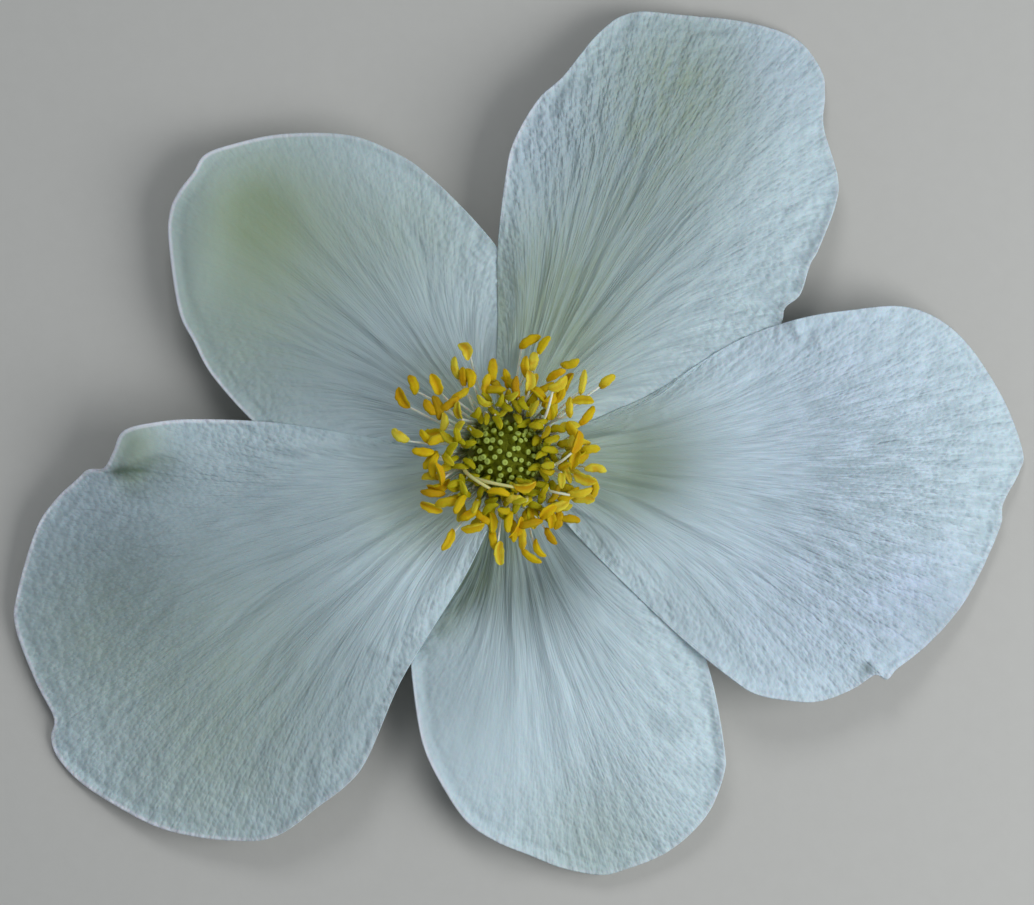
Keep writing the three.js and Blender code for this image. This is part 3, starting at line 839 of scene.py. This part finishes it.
def stamen(azimuth, reach, heading, drop, index):
    """The thread and the anther of one stamen. Anthers of the inner ring are smaller and
    stand more upright; drop is how far the anther lies below its ring's height."""
    inner = 1 - smoothstep(reach, *INNER_RING)
    root_azimuth = azimuth + ROOT_SWAY * jitter(index, 13)
    root = above(ROOT_RADIUS + ROOT_SPREAD * jitter(index, 4), root_azimuth, ROOT_HEIGHT)
    height = INNER_HEIGHT - OUTWARD_DROP * (reach - INNER_REACH) - drop
    height += HEIGHT_SPREAD * jitter(index, 2)
    bend_azimuth = azimuth + BEND_SWAY * jitter(index, 1)
    bend_height = height - BEND_DEPTH * (1 + jitter(index, 26))
    bend = above(BEND_RADIUS + BEND_SHARE * reach, bend_azimuth, bend_height)
    middle = above(reach, azimuth, height)
    plan = polar(1, heading)
    if plan @ (middle - bend)[:2] < 0:
        plan = -plan
    upright = INNER_TILT + INNER_TILT_SPREAD * jitter(index, 3)
    direction = unit(np.append(plan, lerp(ANTHER_TILT * jitter(index, 3), upright, inner)))
    size = lerp(1, INNER_SIZE, inner)
    # Olive as painted shade in the inner ring and on lower anthers, and at random as tone
    olive = INNER_OLIVE_PAINTED_SHADE * inner + OLIVE_SPREAD * jitter(index, 11) + LOWER_OLIVE_PAINTED_SHADE * (drop > 0)
    olive = np.clip(olive, 0, 1)
    openness = smoothstep(jitter(index, 18), *OPENING) * (1 - inner)
    end = middle - direction * size * ANTHER_LENGTH * THREAD_END
    return thread(root, bend, end), anther(middle, direction, size, olive, openness, index)


def crossing_stamen(root_azimuth, azimuth, reach, heading, openness, girth, yellow, index):
    """A stamen whose thread runs over the edge of the head or over other stamens."""
    root = above(ROOT_RADIUS, root_azimuth, ROOT_HEIGHT)
    bend = above(INNER_REACH, root_azimuth, INNER_HEIGHT + CROSSING_BEND_RISE)
    middle = above(reach, azimuth, INNER_HEIGHT + CROSSING_RISE)
    direction = above(1, heading, 0)
    end = middle - direction * ANTHER_LENGTH * THREAD_END
    crossing = thread(root, bend, end, girth, yellow)
    return crossing, anther(middle, direction, 1, 0, openness, index)


def lower_stamens():
    """Stamens between and below the others, evenly spread and then moved a little. The
    outer ones leave a window where the pale threads show."""
    rows = []
    for count, reach, drop in LOWER_WHORLS:
        for index in range(count):
            azimuth = 360 * (index + WHORL_SPREAD * jitter(index, reach)) / count
            heading = azimuth + WHORL_TURN * jitter(index, reach + 1)
            moved = reach + WHORL_SPREAD * jitter(index, reach + 2)
            in_window = THREAD_WINDOW[0] < azimuth < THREAD_WINDOW[1]
            if reach < WINDOW_RADIUS or not in_window:
                rows.append([azimuth, moved, heading, drop])
    return rows


def stamens():
    """The threads with the ring that they stand on, and the anthers."""
    rows = [[*row, 0] for row in OUTER_STAMENS + INNER_STAMENS] + lower_stamens()
    pairs = [stamen(*row, index) for index, row in enumerate(rows)]
    crossing = enumerate(CROSSING_STAMENS, len(rows))
    threads, anthers = zip(*pairs, *[crossing_stamen(*row, index) for index, row in crossing])
    return joined([ring(), *threads]), joined(anthers)


def ring():
    """The low ring that the threads grow from, as a body closed on itself."""
    sides = 72
    profile = [
        [RING_INNER_RADIUS, SHOULDER_HEIGHT], [RING_OUTER_RADIUS, SHOULDER_HEIGHT],
        [RING_OUTER_RADIUS, RING_TOP - 0.2], [RING_OUTER_RADIUS - 0.2, RING_TOP],
        [RING_INNER_RADIUS + 0.15, RING_TOP], [RING_INNER_RADIUS, RING_TOP - 0.2],
    ]
    points = turned(profile, sides).reshape(-1, 3)
    faces = np.array(grid_faces(len(profile) + 1, sides, closed=True)) % len(points)
    return points, faces.tolist(), {"along": 0, "yellow": 0}


# Carpel head

def carpel(index):
    """The style of one carpel: a short stem with a round, dimpled tip."""
    upright = lerp(1, CARPEL_LOWEST, (index + 0.5) / CARPEL_COUNT)
    azimuth = index * GOLDEN_ANGLE + CARPEL_SWAY * jitter(index, 13)
    direction = above(math.sqrt(1 - upright * upright), azimuth, upright)
    foot = direction * [HEAD_RADIUS, HEAD_RADIUS, HEAD_RISE] + [0, 0, HEAD_MIDDLE]
    leaning_side = LEANING_SIDE[0] < azimuth % 360 < LEANING_SIDE[1]
    lean = CARPEL_LEAN + LEANING_MORE * leaning_side
    turn = [lean * jitter(index, 14), lean * jitter(index, 15), CARPEL_UPTURN]
    direction = unit(direction + turn)
    proud = CARPEL_PROUD * (1 + PROUD_SPREAD * jitter(index, 16))
    path = foot + (STYLE_REACH * proud)[:, None] * direction
    sides = 12
    across = unit(np.cross(direction, [1, 0.3, 0.2]))
    girth = STYLE_GIRTH * CARPEL_TIP_RADIUS * (1 + TIP_SPREAD * jitter(index, 17))
    rings = rings_along(path, girth, across, np.cross(direction, across), sides)
    return closed_rings(rings, {"tip": STYLE_PALENESS[:, None]})


def carpel_head():
    """The domed core, a little wavy, with its carpels."""
    rings, sides = 26, 72
    azimuth = ring_angles(sides)
    rise = np.radians(np.linspace(*CORE_SPAN, rings))[:, None]
    swell = np.sin(CORE_WAVES[0] * azimuth + CORE_WAVES[1] * rise) * np.cos(rise)
    size = CORE_SHARE * (1 + CORE_WAVINESS * swell)
    radius = HEAD_RADIUS * size * np.cos(rise)
    height = HEAD_MIDDLE + HEAD_RISE * size * np.sin(rise)
    dome = np.stack([radius * np.cos(azimuth), radius * np.sin(azimuth), height], axis=-1)
    foot = turned([[HEAD_BASE_RADIUS, BOSS_HEIGHT - 0.1]], sides)
    core = closed_rings(np.concatenate([foot, dome]), {"tip": 0})
    return joined([core] + [carpel(index) for index in range(CARPEL_COUNT)])


# Receptacle and stalk

def receptacle():
    """The cut stalk, flaring into the receptacle, with soft hairs."""
    profile = [
        [0.05, STALK_BOTTOM + 0.05], [0.5, STALK_BOTTOM + 0.04], [0.8, STALK_BOTTOM],
        [0.93, STALK_BOTTOM + 0.05], [STALK_RADIUS, STALK_BOTTOM + 0.18], [0.94, 0.7],
        [0.96, 1], [1.05, 1.25], [1.3, 1.5], [1.7, 1.7], [2.1, 1.9], [2.35, 2.1],
        [RECEPTACLE_RADIUS, 2.45], [RECEPTACLE_RADIUS + 0.02, 3.2], [RECEPTACLE_RADIUS, 4.2],
        [2.45, 4.8], [2.3, SHOULDER_HEIGHT], [BOSS_RADIUS, SHOULDER_HEIGHT],
        [BOSS_RADIUS, BOSS_HEIGHT - 0.1], [0.05, BOSS_HEIGHT - 0.1],
    ]
    radius, height = np.array(profile).T[..., None]
    sides = 64
    cut = (1 - smoothstep(radius, *CUT_EDGE)) * (height < CUT_HEIGHT)
    body = closed_rings(turned(profile, sides), {"cut": cut, "hair": 0})
    return joined([body] + [hair(index) for index in range(HAIR_COUNT)])


def hair(index):
    """A soft hair on the stalk or on the underside of the receptacle."""
    height = lerp(*HAIR_SPAN, 0.5 + 0.5 * jitter(index, 20))
    azimuth = 180 * jitter(index, 21)
    foot = above(np.interp(height, *HAIRY_PROFILE) - HAIR_SUNK, azimuth, height)
    slope = -0.5 + 0.5 * jitter(index, 23)
    out = unit(above(1, azimuth + HAIR_TURN * jitter(index, 22), slope))
    length = HAIR_LENGTH * (1 + HAIR_SPREAD * jitter(index, 24))
    rings, sides = 4, 3
    share = np.linspace(0, 1, rings)
    path = foot + share[:, None] * out * length
    path[:, 2] -= HAIR_SAG * share ** 2
    path[:, 2] = np.maximum(path[:, 2], HAIR_LOWEST)
    beside = np.append(polar(1, azimuth + 90), 0)
    return tube(path, lerp(*HAIR_RADII, share), sides, beside, {"cut": 0, "hair": 1})


# Materials

def add_node(tree, kind, inputs=None, **settings):
    """A node with its settings. Inputs are sockets, names of marks, or values."""
    node = tree.nodes.new(kind)
    for name, value in settings.items():
        setattr(node, name, value)
    for key, value in (inputs or {}).items():
        if isinstance(value, str):
            value = add_node(tree, "ShaderNodeAttribute", attribute_name=value).outputs["Fac"]
        if isinstance(value, bpy.types.NodeSocket):
            tree.links.new(value, node.inputs[key])
        else:
            node.inputs[key].default_value = value
    return node


def chain(tree, operation, first, *others):
    """Numbers or sockets added or multiplied, one after another."""
    for other in others:
        inputs = {0: first, 1: other}
        first = add_node(tree, "ShaderNodeMath", inputs, operation=operation).outputs[0]
    return first


def remap(tree, value, from_low, from_high, to_low=0, to_high=1):
    inputs = {
        "Value": value, "From Min": from_low, "From Max": from_high,
        "To Min": to_low, "To Max": to_high,
    }
    node = add_node(tree, "ShaderNodeMapRange", inputs, interpolation_type="SMOOTHSTEP")
    return node.outputs["Result"]


def mix(tree, factor, first, second):
    """Two colours mixed by a factor."""
    inputs = {0: factor, 6: colour(first), 7: colour(second)}
    return add_node(tree, "ShaderNodeMix", inputs, data_type="RGBA").outputs[2]


def tinted(tree, base, tint, source, start, end, share=1):
    """A colour with a tint over it, whose share grows as the source goes from start to end."""
    return mix(tree, remap(tree, source, start, end, 0, share), base, tint)


def mix_value(tree, factor, first, second):
    """Two numbers mixed by a factor."""
    return add_node(tree, "ShaderNodeMix", {0: factor, 2: first, 3: second}).outputs[0]


def colour(value):
    return value if isinstance(value, bpy.types.NodeSocket) else (*value, 1)


def texture(tree, vector, scale, detail, roughness):
    inputs = {"Vector": vector, "Scale": scale, "Detail": detail, "Roughness": roughness}
    return add_node(tree, "ShaderNodeTexNoise", inputs).outputs["Fac"]


def grain(tree, scale, detail, roughness):
    """Noise fixed to the object, with its scale in features to the millimetre."""
    position = add_node(tree, "ShaderNodeTexCoord").outputs["Object"]
    return texture(tree, position, scale / MM, detail, roughness)


def bump(tree, height, depth):
    """A normal tilted by a height, whose full range is as deep as given in millimetres."""
    inputs = {"Height": height, "Distance": depth * MM, "Strength": 1}
    return add_node(tree, "ShaderNodeBump", inputs).outputs["Normal"]


def new_material(name, build, **finish):
    """A material whose colour and normal come from build, with the finish on its shader."""
    material = bpy.data.materials.new(name)
    material.use_nodes = True
    tree = material.node_tree
    shader = tree.nodes["Principled BSDF"]
    for key, value in finish.items():
        shader.inputs[key.replace("_", " ")].default_value = value
    base, normal = build(tree)
    tree.links.new(base, shader.inputs["Base Color"])
    tree.links.new(normal, shader.inputs["Normal"])
    return material


WHITE = (0.73, 0.86, 0.9)
CREAM = (0.62, 0.72, 0.56)
# Painted shade in the furrows of the pleats, ribs and streaks
PAINTED_FURROW_SHADE = (0.36, 0.44, 0.45)
# Darker lines of the veins, and painted shade in the hollows of the tepals' bump
VEIN_AND_HOLLOW_SHADE_TINT = (0.44, 0.54, 0.58)
# Pale line on the margins, with a painted highlight where they face left
PALE_RIM_AND_HIGHLIGHT = (0.92, 0.9, 0.96)
# Colours of the tepals' spots: lilac; grey and shade, which are painted shade; and green, which is
# partly painted shade
TINTS_AND_PAINTED_SHADE = {
    "lilac": (0.66, 0.75, 0.92), "painted_shade_grey": (0.38, 0.46, 0.48),
    "green": (0.37, 0.45, 0.29), "shade": (0.1, 0.15, 0.09),
}

# Streaks of a tepal's colour, broad, fine and as thin as hairs: how many there are to a vein,
# and how many follow each other along it
STREAK_SCALES = [(0.6, 5), (1.6, 11), (3.8, 12)]
NET_SCALES = (3.4, 70)


def along_veins(tree, across_scale, along_scale):
    """Texture coordinates that run across a blade's veins and along them."""
    inputs = {
        "X": chain(tree, "MULTIPLY", "vein", across_scale),
        "Y": chain(tree, "MULTIPLY", "reach", along_scale),
    }
    return add_node(tree, "ShaderNodeCombineXYZ", inputs).outputs[0]


def wrinkle_net(tree):
    """A net of fine ridges round small dimples, drawn out along the veins."""
    inputs = {"Vector": along_veins(tree, *NET_SCALES), "Scale": 1, "Randomness": 1}
    return add_node(tree, "ShaderNodeTexVoronoi", inputs).outputs["Distance"]


def pale_rim_and_highlight(tree):
    """Share of the pale line along the free margins, small on all of them and larger, as a painted
    highlight, where they face left.
    """
    at_rim = remap(tree, "from_rim", 0.28, 0.08)
    facing = remap(tree, "facing_left", 0, 0.7, 0.2, 0.9)
    return chain(tree, "MULTIPLY", at_rim, facing, remap(tree, "reach", 0.5, 0.75))


def tepal_look(tree):
    """White with fine streaks along the veins and a net of wrinkles towards the margin,
    greenish towards the claw, with soft spots of tint, some of them painted shade. Painted
    shade also darkens the furrows and the hollows of the streaks and the net, and a painted
    highlight lies on the margins that face left."""
    broad, fine, hairlines = [
        texture(tree, along_veins(tree, *scales), 1, 1, 0.5) for scales in STREAK_SCALES
    ]
    streaks = mix_value(tree, remap(tree, "along", 0.15, 0.5), broad, fine)
    net = mix_value(tree, remap(tree, "along", 0.35, 0.9), 0.5, wrinkle_net(tree))
    base = tinted(tree, CREAM, WHITE, "along", 0, 0.32)
    # Spots of lilac and green, and of painted shade in grey, in shade and in some of the green
    for name, tint in TINTS_AND_PAINTED_SHADE.items():
        base = mix(tree, name, base, tint)
    # Painted shade in the furrows of the pleats, ribs and streaks
    base = tinted(tree, base, PAINTED_FURROW_SHADE, "furrow_shade", 0.1, 1, 0.4)
    hairline_share = remap(tree, "along", 0.55, 0.95, 0.3, 0.12)
    # Darker where the bump is low: vein lines in the streaks and hairlines, and painted shade in
    # their hollows and in the dimples of the wrinkle net
    for vein_and_hollow_shade in (
        remap(tree, streaks, 0.6, 0.36, 0, 0.24),
        chain(tree, "MULTIPLY", remap(tree, hairlines, 0.58, 0.4), hairline_share),
        remap(tree, net, 0.5, 0.1, 0, 0.3),
    ):
        base = mix(tree, chain(tree, "MULTIPLY", vein_and_hollow_shade, "crispness"), base, VEIN_AND_HOLLOW_SHADE_TINT)
    # Pale line on the margins, with a painted highlight where they face left
    base = mix(tree, pale_rim_and_highlight(tree), base, PALE_RIM_AND_HIGHLIGHT)
    height = chain(tree, "ADD", streaks, net, hairlines)
    return base, bump(tree, chain(tree, "MULTIPLY", height, "crispness"), 0.06)


GOLD = (0.8, 0.55, 0.004)
ORANGE = (0.68, 0.32, 0.002)
OLIVE = (0.46, 0.42, 0.004)
BROWN = (0.34, 0.17, 0.003)
PALE_GOLD = (0.88, 0.76, 0.07)


def anther_look(tree):
    """Gold, more or less orange, with paler or olive sides, the olive sides being painted shade
    where they fall away; olive at random and, as painted shade, in the inner ring and on the
    lower anthers, and orange in the grooves of open anthers."""
    blotches = grain(tree, 1.3, 2, 0.5)
    base = tinted(tree, GOLD, PALE_GOLD, "shade", 0.5, 0.95, 0.85)
    base = tinted(tree, base, ORANGE, blotches, 0.5, 0.7, 0.6)
    base = tinted(tree, base, ORANGE, "shade", 0.3, 0, 0.6)
    base = tinted(tree, base, BROWN, "shade", 0.16, 0, 0.45)
    base = mix(tree, "olive", base, OLIVE)
    # Sides of the anthers: pale gold, or olive as painted shade where they fall away, with brown
    # blotches
    side = tinted(tree, OLIVE, PALE_GOLD, "shade", 0.35, 0.6)
    side = tinted(tree, side, BROWN, blotches, 0.45, 0.6, 0.5)
    base = tinted(tree, base, side, "edge", 0.2, 1, 0.6)
    opened = mix_value(tree, "open", 0.2, 0.8)
    base = mix(tree, chain(tree, "MULTIPLY", "groove", opened), base, ORANGE)
    return base, bump(tree, grain(tree, 9, 2, 0.7), 0.03)


THREAD_WHITE = (0.96, 0.97, 0.86)
THREAD_GREEN = (0.5, 0.52, 0.12)
THREAD_YELLOW = (0.78, 0.7, 0.2)


def thread_look(tree):
    """Cream white, yellow-green towards the ring."""
    fuzz = grain(tree, 7, 2, 0.5)
    base = tinted(tree, THREAD_GREEN, THREAD_WHITE, "along", 0, 0.3)
    base = mix(tree, "yellow", base, THREAD_YELLOW)
    base = tinted(tree, base, THREAD_GREEN, fuzz, 0.4, 0.7, 0.15)
    return base, bump(tree, fuzz, 0.01)


CARPEL_TIP = (0.5, 0.6, 0.13)
CARPEL_STEM = (0.3, 0.33, 0.01)
CARPEL_CORE = (0.14, 0.15, 0.004)


def carpel_look(tree):
    """Dark olive between the carpels and pale green on their tips."""
    fuzz = grain(tree, 5, 2, 0.6)
    base = tinted(tree, CARPEL_CORE, CARPEL_STEM, "tip", 0, 0.3)
    base = tinted(tree, base, CARPEL_TIP, "tip", 0.3, 1)
    base = tinted(tree, base, CARPEL_STEM, fuzz, 0.45, 0.7, 0.5)
    return base, bump(tree, fuzz, 0.03)


STALK_GREEN = (0.22, 0.3, 0.1)
STALK_PALE = (0.5, 0.56, 0.32)
PITH = (0.62, 0.66, 0.46)
HAIR_WHITE = (0.8, 0.84, 0.78)


def stalk_look(tree):
    """Green with pale streaks; the cut end shows pale pith inside a green skin."""
    skin = grain(tree, 2.5, 4, 0.6)
    base = tinted(tree, STALK_GREEN, STALK_PALE, skin, 0.35, 0.7)
    pith = tinted(tree, PITH, STALK_GREEN, grain(tree, 5, 1, 0.5), 0.5, 0.6)
    base = mix(tree, "cut", base, pith)
    base = mix(tree, "hair", base, HAIR_WHITE)
    return base, bump(tree, skin, 0.05)


CARD_DARK = (0.655, 0.615, 0.565)
CARD_LIGHT = (0.685, 0.645, 0.595)


def floor_look(tree):
    """Plain pale card with the faintest tooth."""
    tooth = grain(tree, 0.9, 3, 0.6)
    return mix(tree, tooth, CARD_DARK, CARD_LIGHT), bump(tree, tooth, 0.01)


# Stage

def linked(name, data):
    """An object in the scene that shows a mesh, a lamp or a camera."""
    item = bpy.data.objects.new(name, data)
    bpy.context.scene.collection.objects.link(item)
    return item


def make_floor():
    mesh = bpy.data.meshes.new("floor")
    spread = [(-1, -1), (1, -1), (1, 1), (-1, 1)]
    points = [(FLOOR_HALF * x, FLOOR_HALF * y, 0) for x, y in spread]
    mesh.from_pydata(points, [], [(0, 1, 2, 3)])
    mesh.materials.append(new_material("floor", floor_look, Roughness=0.8))
    linked("floor", mesh)


def make_light(name, azimuth, elevation, distance, size, power, tone):
    """A square lamp that faces the flower, placed by its direction from it in degrees."""
    data = bpy.data.lights.new(name, "AREA")
    data.size = size
    data.energy = power
    data.color = tone
    lamp = linked(name, data)
    plan = polar(distance * math.cos(math.radians(elevation)), azimuth)
    lamp.location = (*plan, distance * math.sin(math.radians(elevation)))
    lamp.rotation_euler = lamp.location.to_track_quat("Z", "Y").to_euler()


def make_world():
    world = bpy.data.worlds.new("studio")
    world.use_nodes = True
    sky = world.node_tree.nodes["Background"]
    sky.inputs["Color"].default_value = SKY_COLOUR
    sky.inputs["Strength"].default_value = SKY_STRENGTH
    bpy.context.scene.world = world


def make_camera():
    """Straight above the flower, at the height where the lens takes in the photograph's width."""
    data = bpy.data.cameras.new("camera")
    data.lens = LENS
    data.sensor_width = SENSOR_WIDTH
    data.clip_start = 0.01
    camera = linked("camera", data)
    height = FOCUS_HEIGHT + PHOTO_WIDTH * LENS / SENSOR_WIDTH
    camera.location = (PHOTO_MIDDLE[0] * MM, PHOTO_MIDDLE[1] * MM, height * MM)
    bpy.context.scene.camera = camera


make_camera()
make_world()
for lamp_name, lamp in LAMPS.items():
    make_light(lamp_name, *lamp)
make_floor()
bpy.context.scene.view_settings.view_transform = "Standard"

tepal_material = new_material(
    "tepal_white", tepal_look, Roughness=0.65, Specular_IOR_Level=0.35,
    Subsurface_Weight=0.1, Subsurface_Scale=0.0003, Sheen_Weight=0.1, Sheen_Roughness=0.5,
)
blades = []
for order, row in enumerate(TEPALS):
    shape = blade(row, 10 * order, blades)
    make_piece(row["name"] + "_blade", shape, tepal_material, row["name"])
    blades.append(BVHTree.FromPolygons(shape[0].tolist(), shape[1]))

thread_shape, anther_shape = stamens()
thread_material = new_material(
    "thread_cream", thread_look, Roughness=0.5, Subsurface_Weight=0.3, Subsurface_Scale=0.0001
)
anther_material = new_material(
    "anther_gold", anther_look, Roughness=0.6, Specular_IOR_Level=0.15,
    Subsurface_Weight=0.15, Subsurface_Scale=0.0001,
)
make_piece("stamen_threads", thread_shape, thread_material, "stamens")
make_piece("stamen_anthers", anther_shape, anther_material, "stamens")

carpel_material = new_material(
    "carpel_green", carpel_look, Roughness=0.7, Specular_IOR_Level=0.12
)
make_piece("carpels", carpel_head(), carpel_material, "carpel_head")

stalk_material = new_material("stalk_green", stalk_look, Roughness=0.6)
make_piece("receptacle", receptacle(), stalk_material, "receptacle_and_stalk")
